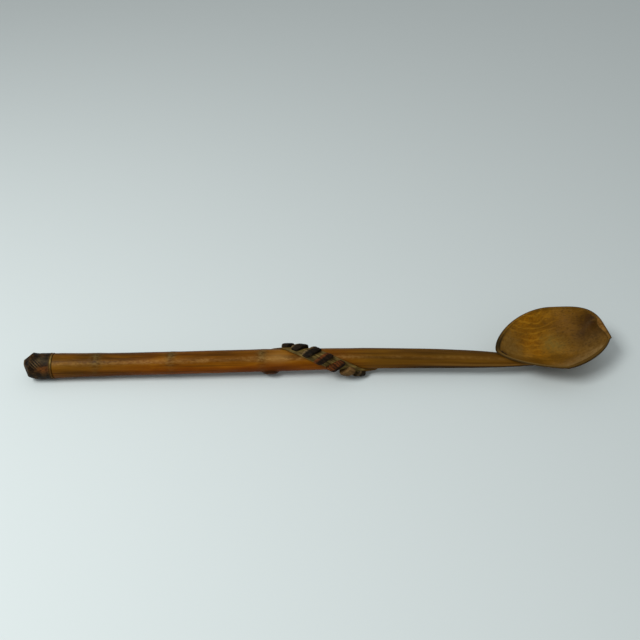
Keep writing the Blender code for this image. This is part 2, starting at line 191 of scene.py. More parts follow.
LUG_NOTCHED = (0.2, 0.3, 0.4, 0.3, 1.0, 0.2, 0.4)
HOLLOW_UNEVEN = 0.12 * MM
NEAR_RIM_MORE = 1.0 * MM
NEAR_RIM_TURN = -0.95
NEAR_RIM_SPREAD = 0.55
CREASE_DEPTH = 0.1 * MM
CREASE_HALF_TURN = 0.07

# Places along X that follow from the lengths.
collar_start = CAP_LENGTH + GAP
shoulder = collar_start + COLLAR_THICKNESS + GAP
grip = shoulder + COLLAR_TO_GRIP
middle = grip + GRIP_TO_MIDDLE
shank = middle + MIDDLE_TO_SHANK
waist = shank + SHANK_TO_WAIST
neck = waist + WAIST_TO_NECK
handle_end = neck + BOWL_DEEPEST - SEAT_SHORT_OF_DEEPEST
stub_at = shoulder + STUB_FROM_COLLAR

Around = namedtuple("Around", "x angle")
Spot = namedtuple("Spot", "theta share place on_rim reach")


def between(x, points):
    """A smooth value at x through (x, value) points, level beyond the first and the last."""
    if x <= points[0][0]:
        return points[0][1]
    if x >= points[-1][0]:
        return points[-1][1]
    last = len(points) - 1
    i = max(k for k in range(last) if points[k][0] <= x)

    def slope(k):
        before = points[max(k - 1, 0)]
        after = points[min(k + 1, last)]
        return (after[1] - before[1]) / (after[0] - before[0])

    (x0, y0), (x1, y1) = points[i], points[i + 1]
    span = x1 - x0
    t = (x - x0) / span
    rise = (2 * t**3 - 3 * t**2 + 1) * y0 + (3 * t**2 - 2 * t**3) * y1
    return rise + span * ((t**3 - 2 * t**2 + t) * slope(i) + (t**3 - t**2) * slope(i + 1))


def signed_power(value, power):
    return math.copysign(abs(value)**power, value)


def ease(value, low, high):
    """0 at low, 1 at high and smooth between."""
    t = min(max((value - low) / (high - low), 0.0), 1.0)
    return t * t * (3 - 2 * t)


def bump(distance, reach):
    return math.exp(-(distance / reach)**2)


def apart(angle, other):
    """The turn between two angles, at most half a turn either way."""
    return math.remainder(angle - other, 2 * math.pi)


def full_turn(count):
    return [2 * math.pi * i / count for i in range(count)]


# The bowl's own shape

def beak(theta):
    return BEAK_LENGTH * math.exp(-abs(apart(theta, 0.0)) / BEAK_SPREAD)


def outline(theta, inset=0.0):
    along, across = math.cos(theta), math.sin(theta)
    reach, skew = BOWL_DEEPEST, HEEL_SKEW
    fullness = HEEL_FAR_FULLNESS if across > 0 else HEEL_NEAR_FULLNESS
    if along > 0:
        reach, skew = BOWL_LENGTH - BOWL_DEEPEST - BEAK_LENGTH, 0.0
        fullness = TIP_FAR_FULLNESS if across > 0 else TIP_NEAR_FULLNESS
    u = reach * signed_power(along, 2 / fullness) + beak(theta)
    v = BOWL_HALF_WIDTH * signed_power(across, 2 / fullness) + BOWL_LOPSIDE * across**2 - skew * along**2
    share = 1 - inset / math.hypot(u, v)
    return BOWL_DEEPEST + share * u, share * v


def heelward(theta):
    return (1 - math.cos(theta)) / 2


def tipward(theta):
    return (1 + math.cos(theta)) / 2


def rim_level(theta):
    return -HEEL_DIP * heelward(theta)**3 - TIP_DIP * tipward(theta)**3


def wall(theta):
    heel = (HEEL_WALL - SIDE_WALL) * heelward(theta)**6
    lip = (LIP_WALL - SIDE_WALL) * bump(apart(theta, LIP_TURN), LIP_SPREAD)
    near = NEAR_RIM_MORE * bump(apart(theta, NEAR_RIM_TURN), NEAR_RIM_SPREAD)
    return SIDE_WALL + heel + lip + near


def dished(theta, share, rim, floor, side_power, tip_power):
    """A place on a wall that climbs from the floor at share 0 to the rim at share 1."""
    u, v = rim
    power = side_power + (tip_power - side_power) * tipward(theta)**2
    top = rim_level(theta) - RIM_EDGE
    level = floor + (top - floor) * share**power
    return Vector((BOWL_DEEPEST + share * (u - BOWL_DEEPEST), share * v, level))


def hull_point(theta, share, grow=0.0):
    return dished(theta, share, outline(theta, -grow), -BOWL_DEPTH - grow, HULL_POWER_SIDE, HULL_POWER_TIP)


def hollow_point(theta, share):
    # The lip and the beak stay close to the rim.
    u, v = outline(theta, SIDE_WALL + (wall(theta) - SIDE_WALL) * share**4)
    u -= beak(theta) * (1 - share**4)
    return dished(theta, share, (u, v), BOWL_FLOOR - BOWL_DEPTH, HOLLOW_POWER_SIDE, HOLLOW_POWER_TIP)


def bowl_thetas(count):
    """Directions round the bowl, closer together towards its tip."""
    return [theta - 0.4 * math.sin(theta) for theta in full_turn(count)]


# The part's own directions and levels set how high the bowl sits.
part_shares = (0.0, 0.1, 0.2, 0.32, 0.45, 0.58, 0.7, 0.81, 0.91, 1.0)
bowl_turn = Euler((BOWL_ROLL, -BOWL_PITCH, BOWL_YAW)).to_matrix()
heel_point = Vector((*outline(math.pi), rim_level(math.pi)))
part_hull = [hull_point(theta, share) for theta in bowl_thetas(64) for share in part_shares]
lowest = min((bowl_turn @ (point - heel_point)).z for point in part_hull)
heel_height = -lowest - BOWL_REST_DEPTH
neck_height = heel_height - HEEL_RISE
butt_height = CAP_RADIUS - CAP_REST_DEPTH


def axis_y(x):
    share = x / neck
    return NECK_ASIDE * share + HANDLE_BOW * math.sin(math.pi * max(share, 0.0)**HANDLE_BOW_SKEW)


def axis_z(x):
    share = x / neck
    return butt_height + (neck_height - butt_height) * share + HANDLE_ARCH * math.sin(math.pi * share)


heel_place = Vector((neck, axis_y(neck) + HEEL_ASIDE, heel_height))


def in_bowl(point):
    return heel_place + bowl_turn @ (point - heel_point)


def to_bowl(point):
    """A point of the spoon in the bowl's own frame."""
    return heel_point + bowl_turn.transposed() @ (point - heel_place)


# The handle's shape: half widths and half heights along it

sections = [
    (shoulder, BUTT_RADIUS, BUTT_RADIUS),
    (grip, GRIP_RADIUS, GRIP_RADIUS),
    (middle, MIDDLE_RADIUS, MIDDLE_RADIUS),
    (shank, SHANK_HALF_WIDTH, SHANK_HALF_HEIGHT),
    (waist, WAIST_HALF_WIDTH, WAIST_HALF_HEIGHT),
    (neck, NECK_HALF_WIDTH, NECK_HALF_HEIGHT),
    (handle_end, SEAT_HALF_WIDTH, SEAT_HALF_HEIGHT),
]
half_widths = [(x, width) for x, width, _ in sections]
half_heights = [(x, height) for x, _, height in sections]
squarenesses = [(middle, 2.0), (neck, NECK_SQUARENESS)]


def stub_lift(x, angle):
    aside = apart(angle, STUB_ANGLE) * MIDDLE_RADIUS
    return STUB_HEIGHT * math.exp(-(math.hypot(x - stub_at, aside) / STUB_RADIUS)**6)


def shaft_radius(x, angle):
    power = between(x, squarenesses)
    tall = abs(math.cos(angle) / between(x, half_heights))**power
    wide = abs(math.sin(angle) / between(x, half_widths))**power
    return (tall + wide)**(-1 / power) + stub_lift(x, angle)


def around_axis(x, angle, radius):
    return Vector((x, axis_y(x) - radius * math.sin(angle), axis_z(x) + radius * math.cos(angle)))


def on_shaft(x, angle, lift):
    return around_axis(x, angle, shaft_radius(x, angle) + lift)


def ring_round(x, radius, sides):
    return [around_axis(x, turn, radius) for turn in full_turn(sides)]


def whittled(x, angle):
    """How far the knife's flats, the nodes and small unevenness lie from the plain section."""
    shift = FLAT_DRIFT * noise.noise(Vector((x * 18, 3.7, 0.0)))
    step = 2 * math.pi / FLAT_COUNT
    turn = (angle + shift + step) % step - step / 2
    flat = math.cos(step / 2) / math.cos(turn)
    share = FLAT_SHARE_GRIP + (FLAT_SHARE_SHANK - FLAT_SHARE_GRIP) * ease(x, middle, shank + 10 * MM)
    lift = shaft_radius(x, angle) * share * 0.5 * (flat - (1 + math.cos(step / 2)) / 2)
    for station, strength in zip(NODE_STATIONS, NODE_SHARES):
        swell = NODE_SWELL * bump(x - station, NODE_LENGTH)
        groove = NODE_GROOVE * bump(x - station + NODE_GROOVE_BEHIND, NODE_GROOVE_LENGTH)
        lift += strength * (swell - groove)
    around = Vector((math.cos(angle), math.sin(angle), 0.0)) * 1.6
    lift += SHAFT_UNEVEN * noise.noise(around + Vector((x * 60, 0, x * 60)))
    return lift * ease(x, shoulder, shoulder + 4 * MM)


# The band's route

def band_x(angle):
    return shoulder + BAND_FROM_COLLAR + BAND_PITCH * (angle - BAND_CENTRE_ANGLE) / (2 * math.pi)


def band_fullness(angle):
    from_end = min(angle - BAND_START, BAND_START + BAND_TURN - angle)
    return math.sin(math.pi / 2 * min(max(from_end / BAND_END_TURN, 0), 1))


def band_half_width(angle):
    far, near = 1 - ease(angle, *BAND_SLIM_FAR), ease(angle, *BAND_SLIM_NEAR)
    slimmer = 1 - BAND_SLIMMER * far - BAND_SLIMMER_END * near
    return slimmer * BAND_WIDTH / 2 * (BAND_END_WIDTH + (1 - BAND_END_WIDTH) * band_fullness(angle))


def band_top(x, angle):
    """How far the strip's top lies from the handle, with its sides softened."""
    across = abs(x - band_x(angle)) / band_half_width(angle)
    thinner = 1 - BAND_THINNER * (1 - ease(angle, *BAND_THIN_FAR))
    soft = 1 - BAND_SOFTER * ease(across, BAND_SOFT_FROM, 1.0)
    return GAP + BAND_THICKNESS * thinner * (1 - BAND_CROWN * min(across**2, 1)) * soft


# Where the part's frame has its origin, read from the collar.
collar_low, collar_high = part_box("cap_collar")
collar_ends = (collar_start, collar_start + COLLAR_THICKNESS)
collar_side = max(axis_y(x) for x in collar_ends) + BUTT_RADIUS + COLLAR_PROUD
origin = Vector((collar_low[0] - collar_start, collar_high[1] - collar_side, 0.0))


# Meshes

def skin_over(rings, closed=False):
    """Faces over rings of points. The ends are fanned to their middles, or joined to each other if closed."""
    skin = bmesh.new()
    loops = [[skin.verts.new(point) for point in ring] for ring in rings]
    pairs = list(zip(loops, loops[1:]))
    if closed:
        pairs.append((loops[-1], loops[0]))
    else:
        for loop in (loops[0], loops[-1]):
            centre = skin.verts.new(sum((vert.co for vert in loop), Vector()) / len(loop))
            for i, vert in enumerate(loop):
                skin.faces.new((vert, loop[(i + 1) % len(loop)], centre))
    for first, second in pairs:
        for i in range(len(first)):
            j = (i + 1) % len(first)
            skin.faces.new((first[i], first[j], second[j], second[i]))
    bmesh.ops.recalc_face_normals(skin, faces=skin.faces)
    return skin


def rest_on_table(skin):
    for vert in skin.verts:
        vert.co.z = max(vert.co.z, 0.0)


def add_piece(name, skin):
    mesh = bpy.data.meshes.new(name)
    skin.to_mesh(mesh)
    skin.free()
    made = bpy.data.objects.new(name, mesh)
    scene.collection.objects.link(made)
    return made


def cut(piece, cutters):
    """Cut holes in a piece."""
    for cutter in cutters:
        hole = piece.modifiers.new(cutter.name, "BOOLEAN")
        hole.operation = "DIFFERENCE"
        hole.solver = "EXACT"
        hole.object = cutter
    graph = bpy.context.evaluated_depsgraph_get()
    mesh = bpy.data.meshes.new_from_object(piece.evaluated_get(graph))
    mesh.name = piece.name
    piece.modifiers.clear()
    piece.data = mesh


def note(piece, places, **marks):
    """Write values for each vertex, worked out from its place, which the finishes read by name."""
    for name, value_at in marks.items():
        layer = piece.data.attributes.new(name, "FLOAT", "POINT")
        layer.data.foreach_set("value", [value_at(place) for place in places])


def note_grain(piece, place_at):
    """Write the wood's own coordinates: along the grain, and across it both ways."""
    layer = piece.data.attributes.new("grain", "FLOAT_VECTOR", "POINT")
    flat = [value for vertex in piece.data.vertices for value in place_at(vertex.co)]
    layer.data.foreach_set("vector", flat)


def note_edges(piece, reach, rounds=2):
    """Write how sharply each vertex stands out, for wear, or lies in a corner, for dirt."""
    vertices = piece.data.vertices
    around = [[] for _ in vertices]
    for edge in piece.data.edges:
        a, b = edge.vertices
        around[a].append(b)
        around[b].append(a)
    points = [vertex.co.copy() for vertex in vertices]
    values = []
    for vertex, others in zip(vertices, around):
        leans = [vertex.normal.dot((vertex.co - points[k]).normalized()) for k in others]
        values.append(reach * sum(leans) / len(leans))
    for _ in range(rounds):
        means = [sum(values[k] for k in others) / len(others) for others in around]
        values = [0.5 * value + 0.5 * mean for value, mean in zip(values, means)]
    note(piece, values, wear=lambda v: min(max(v, 0.0), 1.0), dirt=lambda v: min(max(-v, 0.0), 1.0))


def settle(piece, finish, slot, *nodes, sharp=35):
    """Move a piece to the part's frame, give it its finish and put it in the place of its CAD nodes."""
    piece.data.transform(Matrix.Translation(origin))
    piece.data.shade_smooth()
    piece.data.set_sharp_from_angle(angle=math.radians(sharp))
    piece.data.materials.clear()
    piece.data.materials.append(finish)
    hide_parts(*nodes)
    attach(piece, "root")


# Places on the pieces

def stick_grain(point):
    """Along the stick, and off its middle both ways, as if the stick were straight."""
    return point.x, point.y - axis_y(point.x), point.z - axis_z(point.x)


def handle_angle(point):
    _, aside, up = stick_grain(point)
    return math.atan2(-aside, up)


def band_grain(point):
    """Along the band, across it, and up from the handle."""
    angle = handle_angle(point)
    _, aside, up = stick_grain(point)
    return angle * MIDDLE_RADIUS * 2, point.x - band_x(angle), math.hypot(aside, up)


def places_round(piece):
    """Where each vertex lies along and round the handle."""
    return [Around(vertex.co.x, handle_angle(vertex.co)) for vertex in piece.data.vertices]


def bowl_spot(point):
    """Where a point lies in the bowl: its direction from the deepest point, and its share of the way out."""
    place = to_bowl(point)
    theta = math.atan2(place.y, place.x - BOWL_DEEPEST)
    low, high = theta - 0.8, theta + 0.8
    for _ in range(24):
        # The outline's own angle runs ahead of the plain one, so it is found by halving.
        half = (low + high) / 2
        u, v = outline(half)
        if apart(math.atan2(v, u - BOWL_DEEPEST), theta) > 0:
            high = half
        else:
            low = half
    u, v = outline(low)
    reach = math.hypot(u - BOWL_DEEPEST, v)
    on_rim = bump(min(place.z - rim_level(low) + 0.3 * MM, 0.0), 0.35 * MM)
    share = math.hypot(place.x - BOWL_DEEPEST, place.y) / reach
    return Spot(low, share, place, on_rim, reach)


# Marks on the handle and the band

def shine_mark(at):
    """A painted highlight line along the upper front, up to the band."""
    rubbed = bump(at.angle - 0.7, 0.19)
    rubbed *= 0.45 + 0.55 * ease(at.x, grip, grip + 45 * MM)
    return rubbed * (1 - 0.75 * ease(at.x, stub_at + 10 * MM, shank))


def node_mark(at):
    """Dark rings at the nodes, mostly on the upper side."""
    upper = 0.2 + 0.8 * bump(at.angle - 0.2, 0.75)
    rings = zip(NODE_STATIONS, NODE_SHARES)
    return upper * max(strength * bump(at.x - station, 3.0 * MM) for station, strength in rings)


def band_mark(at):
    """Darker colour on the handle close to the band's sides."""
    if not BAND_START < at.angle < BAND_START + BAND_TURN:
        return 0.0
    beyond = abs(at.x - band_x(at.angle)) - band_half_width(at.angle)
    return bump(max(beyond, 0.0), 1.2 * MM)


def stub_mark(at):
    return stub_lift(at.x, at.angle) / STUB_HEIGHT


def tail_mark(at):
    """The strip's ends, which hardly show against the handle."""
    return max(1 - ease(at.angle, -0.75, -0.25), ease(at.angle, 2.05, 2.3))


def lug_mark(at):
    """Darker colour on the band close to the lugs' feet."""
    aside = math.remainder((at.angle - LUG_START) / LUG_STEP, 1.0)
    return ease(0.5 - abs(aside), 0.12, 0.3)


# Marks on the bowl

def patch(spot, u, v, long, wide):
    """A soft spot round a place in the bowl, in millimetres."""
    place = spot.place / MM
    return bump(math.hypot((place.x - u) / long, (place.y - v) / wide), 1.0)


def patches(spot, *rows):
    """Soft spots that run into one another, each with its strength first."""
    return 1 - math.prod(1 - strength * patch(spot, *row) for strength, *row in rows)


def rim_near(spot, turn, spread):
    """The rim round one direction."""
    return spot.on_rim * bump(apart(spot.theta, turn), spread)


def rim_line_mark(spot):
    """Painted shade along the two edges of the rim."""
    inset = (1 - spot.share) * spot.reach
    inner = max(bump(apart(spot.theta, -1.4), 0.9), bump(apart(spot.theta, LIP_TURN), 0.4))
    return spot.on_rim * max(bump(inset, 0.95 * MM), inner * bump(inset - wall(spot.theta), 0.4 * MM))


def inside_mark(spot):
    hull = hull_point(spot.theta, min(spot.share, 1.0)).z
    return ease(spot.place.z - hull, 0.5 * MM, 1.5 * MM) if spot.on_rim < 0.5 else 1.0


def stain_mark(spot):
    """The dark stain below the lip."""
    dark = patches(
        spot,
        (1, 65, 14.5, 4, 4.5),
        (0.95, 65, 17.5, 4, 2.5),
        (0.9, 64.5, 20, 3.5, 2.5),
        (0.55, 60, 15.5, 4, 3),
        (0.35, 57, 18, 5, 2.5),
        (0.75, 58.5, 10.5, 4, 3),
        (0.7, 66.5, 10, 2.5, 4.5),
        (0.35, 61, 12, 10, 8),
    )
    return dark * (1 - 0.75 * spot.on_rim)


def near_wall_mark(spot):
    """Painted light: the inner wall on the near side, towards the tip, made pale where the lamp leaves it in
    shade.
    """
    rows = (0.9, 42, -17, 8, 5.5), (1, 54, -13, 9, 6), (1, 63, -8, 7, 5)
    return patches(spot, *rows) * (1 - 0.8 * spot.on_rim)


def glow_mark(spot):
    return max(patch(spot, 27, 8, 11, 6), 0.8 * patch(spot, 29, 1, 7, 4), 0.8 * patch(spot, 20, 17, 11, 7))


def arc_distance(spot):
    """How far a place lies from the heart of the growth rings, in millimetres."""
    place = spot.place / MM
    return math.hypot((place.x - 26) / 1.7, place.y - 23, place.z + 2)


def lip_mark(spot):
    width = wall(spot.theta)
    within = ease((1 - spot.share) * spot.reach, width + 0.2 * MM, width - 0.3 * MM)
    return bump(spot.theta - LIP_TURN - 0.04, 0.26) * within * spot.on_rim


def heel_mark(spot):
    """The dark edge of the heel, and the dark wood round the pegs."""
    on_edge = bump(apart(spot.theta, 2.92), 0.34) * ease((1 - spot.share) * spot.reach, 3.6 * MM, 2.4 * MM)
    return max(on_edge, 0.8 * patch(spot, 4.8, -6.2, 2.4, 1.6))


# Pieces

def carve_cap():
    sides, rows = 112, 44
    planes = []
    for i in range(CAP_FACETS):
        angle = 2 * math.pi * (i + 0.5) / CAP_FACETS
        start = around_axis(CAP_FACET_LENGTH + CAP_FACET_UNEVEN * math.cos(angle), angle, CAP_RADIUS)
        end = around_axis(0.0, angle, CAP_TIP_RADIUS) + Vector((0, 0, CAP_TIP_RAISE))
        outward = Vector((0, -math.cos(angle), -math.sin(angle))).cross(end - start)
        if outward.x > 0:
            outward.negate()
        planes.append((start, outward.normalized()))

    def radius(centre, direction):
        """Distance to the skin, with the facets' arrises a little rounded."""
        reaches = [CAP_RADIUS]
        for start, outward in planes:
            lean = direction.dot(outward)
            if lean > 1e-4:
                reaches.append((start - centre).dot(outward) / lean)
        least = min(reaches)
        return least - CAP_ARRIS * math.log(sum(math.exp((least - reach) / CAP_ARRIS) for reach in reaches))

    def ring(x):
        raised = CAP_TIP_RAISE * (1 - ease(x, 0.0, 2 * CAP_FACET_LENGTH))
        centre = around_axis(x, 0.0, raised)
        points = []
        for angle in full_turn(sides):
            direction = Vector((0, -math.sin(angle), math.cos(angle)))
            reach = radius(centre, direction)
            rough = CAP_UNEVEN * (noise.noise((centre + direction * reach) * 420) - 0.4)
            reach += rough * ease(x, 0.0, 1 * MM) * (1 - ease(x, 14.5 * MM, 15.5 * MM))
            points.append(centre + direction * reach)
        return points

    def shrunk(points, share, x):
        middle_point = sum(points, Vector()) / len(points)
        return [Vector((x, *(middle_point + (point - middle_point) * share).yz)) for point in points]

    first = ring(0.0)
    rings = [shrunk(first, 0.35, 0.0), shrunk(first, 0.8, 0.0)]
    cap_end = CAP_LENGTH + CAP_CLOSER
    rings += [ring(cap_end * (i / rows)**1.15) for i in range(rows + 1)]
    rings += [ring_round(x, TENON_RADIUS + GAP, sides) for x in (cap_end, CAP_LENGTH - TENON_LENGTH - GAP)]
    skin = skin_over(rings)
    rest_on_table(skin)
    piece = add_piece("whittled_cap", skin)
    note_grain(piece, stick_grain)
    note(
        piece,
        places_round(piece),
        end=lambda at: 1 - ease(at.x, 0.3 * MM, 1.6 * MM),
        low=lambda at: bump(at.angle - 1.1, 0.24) * bump(at.x - 12.5 * MM, 3.5 * MM),
        grey=lambda at: bump(at.angle - 0.4, 0.24) * bump(at.x - 12 * MM, 3.5 * MM),
        hatch=lambda at: bump(at.angle - 0.72, 0.27) * bump(at.x - 8 * MM, 2.6 * MM),
    )
    note_edges(piece, 2.5)
    return piece


def carve_collar():
    inner = TENON_RADIUS + GAP
    outer = BUTT_RADIUS + COLLAR_PROUD
    soft = 0.25 * MM
    half = 0.3 * soft
    first, last = collar_ends
    profile = [(first, inner), (first, outer - soft), (first + half, outer - half), (first + soft, outer)]
    profile += [(last - soft, outer), (last - half, outer - half), (last, outer - soft), (last, inner)]
    skin = skin_over([ring_round(x, radius, 112) for x, radius in profile], closed=True)
    rest_on_table(skin)
    piece = add_piece("pale_collar", skin)
    note_grain(piece, stick_grain)
    note(
        piece,
        places_round(piece),
        low=lambda at: max(ease(at.angle, 0.7, 1.3), ease(-at.angle, -0.25, 0.3)),
    )
    note_edges(piece, 2.0)
    return piece


def carve_handle(cutters):
    sides = 84
    tenon_end = CAP_LENGTH - TENON_LENGTH
    soft = 0.3 * MM
    profile = [(tenon_end, TENON_RADIUS - TENON_CHAMFER), (tenon_end + TENON_CHAMFER, TENON_RADIUS)]
    profile += [(shoulder, TENON_RADIUS), (shoulder, BUTT_RADIUS - soft)]
    rings = [ring_round(x, radius, sides) for x, radius in profile]
    stations = [shoulder + soft]
    while stations[-1] < handle_end - 0.1 * MM:
        x = stations[-1]
        fine = abs(x - stub_at) < 8 * MM or any(abs(x - station) < 7 * MM for station in NODE_STATIONS)
        step = 0.45 * MM if fine else 1.3 * MM
        stations.append(min(x + step, handle_end))
    rings += [[on_shaft(x, turn, whittled(x, turn)) for turn in full_turn(sides)] for x in stations]
    piece = add_piece("carved_handle", skin_over(rings))
    cut(piece, cutters)
    note_grain(piece, stick_grain)
    note(
        piece,
        places_round(piece),
        # A painted highlight line along the upper front of the handle.
        shine=shine_mark,
        lower=lambda at: ease(at.angle, 0.85, 1.6),
        # Painted shade: the handle's top is darkened to offset the lamp's light from above.
        upper=lambda at: 1 - ease(at.angle, 0.2, 0.75),
        butt=lambda at: 1 - ease(at.x, shoulder + 15 * MM, shoulder + 70 * MM),
        # Painted shade on the far side, towards the handle's top edge.
        far_side=lambda at: ease(-at.angle, 0.15, 0.75),
        node=node_mark,
        # A painted highlight on the swelling just past the last node.
        knot=lambda at: bump(at.x - NODE_STATIONS[-1] - 9 * MM, 7 * MM) * bump(at.angle - 0.6, 0.5),
        shank=lambda at: ease(at.x, band_x(BAND_CENTRE_ANGLE) - 4 * MM, shank),
        beside_band=band_mark,
        # A painted line of reflected light along the shank's lower front edge, and painted shade on the
        # underside below it.
        edge_light=lambda at: bump(at.angle - 1.52, 0.12) * ease(at.x, shank + 10 * MM, waist),
        under_edge=lambda at: ease(at.angle, 1.62, 1.8) * ease(at.x, shank, shank + 30 * MM),
        stub=stub_mark,
        # Painted shade round the edge of the stub.
        stub_side=lambda at: 4 * stub_mark(at) * (1 - stub_mark(at)),
    )
    return piece


def wind_band():
    steps, across_steps = 150, 22
    shares = [math.sin(math.pi / 2 * (2 * k / across_steps - 1)) for k in range(across_steps + 1)]
    rings = []
    for i in range(steps + 1):
        angle = BAND_START + BAND_TURN * i / steps
        across = [band_x(angle) + share * band_half_width(angle) for share in shares]
        top = []
        for x in across:
            uneven = 0.5 + 0.5 * noise.noise(Vector((x * 500, angle * 9, 4.0)))
            top.append(on_shaft(x, angle, band_top(x, angle) - BAND_UNEVEN * uneven))
        rings.append(top + [on_shaft(x, angle, GAP) for x in reversed(across)])
    piece = add_piece("wound_band", skin_over(rings))
    note_grain(piece, band_grain)
    note(piece, places_round(piece), under_lug=lug_mark, tail=tail_mark)
    note_edges(piece, 2.0)
    return piece


def carve_lug(number):
    sides = 56
    centre_angle = LUG_START + LUG_STEP * (number - 1)
    centre_x = band_x(centre_angle)
    level = shaft_radius(centre_x, centre_angle) + GAP + BAND_THICKNESS
    slope = math.atan2(level, BAND_PITCH / (2 * math.pi))
    along_band = Vector((math.cos(slope), math.sin(slope)))
    across_turn = math.pi / 2 - slope - LUG_LEAN
    across_band = Vector((math.cos(across_turn), -math.sin(across_turn)))
    half_across = (band_half_width(centre_angle) * math.sin(slope) - LUG_INSET) / math.cos(LUG_LEAN)
    down_band = (number - 1) / (LUG_COUNT - 1)
    height = LUG_HEIGHT_FIRST + (LUG_HEIGHT_LAST - LUG_HEIGHT_FIRST) * down_band
    height += LUG_MORE_HEIGHTS[number - 1]
    half_along = (LUG_LENGTH + LUG_MORE_LENGTH) / 2
    loops = [(0.4, 0.0), (0.98, 0.0), (1.0, 0.08), (1.0, 0.3), (1.0, 0.55), (0.99, 0.72), (0.965, 0.83)]
    loops += [(0.93, 0.9), (0.88, 0.94), (0.8, 0.965), (0.65, 0.98), (0.45, 0.99), (0.2, 1.0)]
    rings = []
    for size, rise in loops:
        ring = []
        for turn in full_turn(sides):
            p = signed_power(math.cos(turn), 2 / LUG_SQUARENESS) * size * half_along
            q = signed_power(math.sin(turn), 2 / LUG_SQUARENESS) * size * half_across
            uneven = noise.noise(Vector((p * 700, q * 700, number * 7.3 + rise * 2)))
            moved = (p + LUG_UNEVEN * uneven * rise) * along_band + q * across_band
            x = centre_x + moved.x
            angle = centre_angle + moved.y / level
            lift = rise * height * (1 - LUG_CRACKED * abs(uneven)) * (1 - LUG_ROUNDED * (q / half_across)**4)
            ring.append(on_shaft(x, angle, band_top(x, angle) + LUG_FOOT + lift))
        rings.append(ring)
    piece = add_piece(f"notched_lug_{number:02d}", skin_over(rings))
    note_grain(piece, band_grain)
    note_edges(piece, 3.2, rounds=1)

    def bare(at):
        """Where the dark surface has gone from a lug, from its upper long side on."""
        moved = Vector((at.x - centre_x, (at.angle - centre_angle) * level))
        along = moved.cross(across_band) / along_band.cross(across_band) / half_along
        to = LUG_BARED_TO[number - 1]
        return LUG_BARED[number - 1] * (1 - ease(along, to, to + 0.35))

    note(piece, places_round(piece), bare=bare, notched=lambda _: LUG_NOTCHED[number - 1])
    return piece


def carve_bowl(cutters):
    thetas, levels = bowl_thetas(240), 44
    shares = [(i / levels)**0.85 for i in range(1, levels + 1)]

    def rim_steps(theta):
        """Inset and height of the rim's section, from its outer edge to its inner edge."""
        width = wall(theta)
        level = rim_level(theta)

        turns = [k * math.pi / 2 for k in (0.3, 0.6, 0.9)]
        outer = [(RIM_EDGE * (1 - math.cos(t)), level - RIM_EDGE * (1 - math.sin(t))) for t in turns]
        top = [(RIM_EDGE + k * (width - 2 * RIM_EDGE), level) for k in (0.0, 0.5, 1.0)]
        return outer + top + [(width - inset, height) for inset, height in reversed(outer)]

    def hull_skin(theta, share):
        point = hull_point(theta, share)
        rough = noise.noise(Vector((point.x * 70, point.y * 150, point.z * 150)))
        return in_bowl(point + Vector((0, 0, HOLLOW_UNEVEN * rough * (1 - share**6))))

    def hollow_skin(theta, share):
        point = hollow_point(theta, share)
        rough = noise.noise(Vector((point.x * 75, point.y * 190, 5.0)))
        crease = bump(apart(theta, 0.0), CREASE_HALF_TURN) * ease(share, 0.3, 0.75)
        point.z += HOLLOW_UNEVEN * rough * (1 - share**6) - CREASE_DEPTH * crease * (1 - share**8)
        return in_bowl(point)

    rings = [[hull_skin(theta, share) for theta in thetas] for share in shares]
    for steps in zip(*(rim_steps(theta) for theta in thetas)):
        rings.append([
            in_bowl(Vector((*outline(theta, inset), height))) for theta, (inset, height) in zip(thetas, steps)
        ])
    rings += [[hollow_skin(theta, share) for theta in thetas] for share in reversed(shares)]
    skin = skin_over(rings)
    rest_on_table(skin)
    piece = add_piece("hollowed_bowl", skin)
    cut(piece, cutters)
    note_grain(piece, to_bowl)
    note(
        piece,
        [bowl_spot(vertex.co) for vertex in piece.data.vertices],
        inside=inside_mark,
        rim=lambda spot: spot.on_rim,
        rim_line=rim_line_mark,
        stain=stain_mark,
        worn_floor=lambda spot: patch(spot, 40.5, 7.5, 9, 5.5),
        heel_pale=lambda spot: patch(spot, 11, 1, 8, 9),
        glow=glow_mark,
        arcs=arc_distance,
        arc_area=lambda spot: patch(spot, 24, 14, 19, 14),
        tip_end=lambda spot: patch(spot, 62, 3, 12, 10),
        near_wall=near_wall_mark,
        tip_half=lambda spot: 0.15 + 0.85 * ease(spot.place.x, 32 * MM, 52 * MM),
        ruddy=lambda spot: patch(spot, 48, 16, 10, 7),
        lip=lip_mark,
        heel=heel_mark,
        crossing_rim=lambda spot: rim_near(spot, -2.3, 0.6),
        near_rim=lambda spot: rim_near(spot, -0.9, 0.8),
    )
    return piece


def peg_rods(turn):
    """A peg and the cutter for its hole. Turn is from the heel's point."""
    theta = math.pi + turn
    edge = hollow_point(theta, 1.0)
    share = 1 - PEG_BELOW_RIM / math.hypot(edge.x - BOWL_DEEPEST, edge.y)
    top = in_bowl(hollow_point(theta, share))
    foot = top.z - PEG_LENGTH
    head = top.z + PEG_PROUD

    def rod(levels):
        return skin_over([
            [Vector((top.x + r * math.cos(t), top.y + r * math.sin(t), z)) for t in full_turn(36)]
            for z, r in levels
        ])

    levels = [
        (foot, PEG_RADIUS * 0.6),
        (foot + PEG_RADIUS * 0.6, PEG_RADIUS),
        (head - 0.2 * MM, PEG_RADIUS),
        (head, PEG_RADIUS * 0.95),
        (head + PEG_RADIUS * 0.12, PEG_RADIUS * 0.8),
        (head + PEG_RADIUS * 0.2, PEG_RADIUS * 0.4),
    ]
    bore = PEG_RADIUS + GAP
    return rod(levels), rod([(foot - GAP, bore), (top.z + HEEL_DIP, bore)])


def seat_skin():
    """The outside of the bowl with its clearance, and a lid above it."""
    thetas = bowl_thetas(168)
    rings = [[in_bowl(hull_point(theta, share / 30, GAP)) for theta in thetas] for share in range(1, 31)]
    lid = Vector((0, 0, HEEL_DIP + TIP_DIP))
    rings.append([in_bowl(hull_point(theta, 1.0, GAP) + lid) for theta in thetas])
    return skin_over(rings)


# Finishes

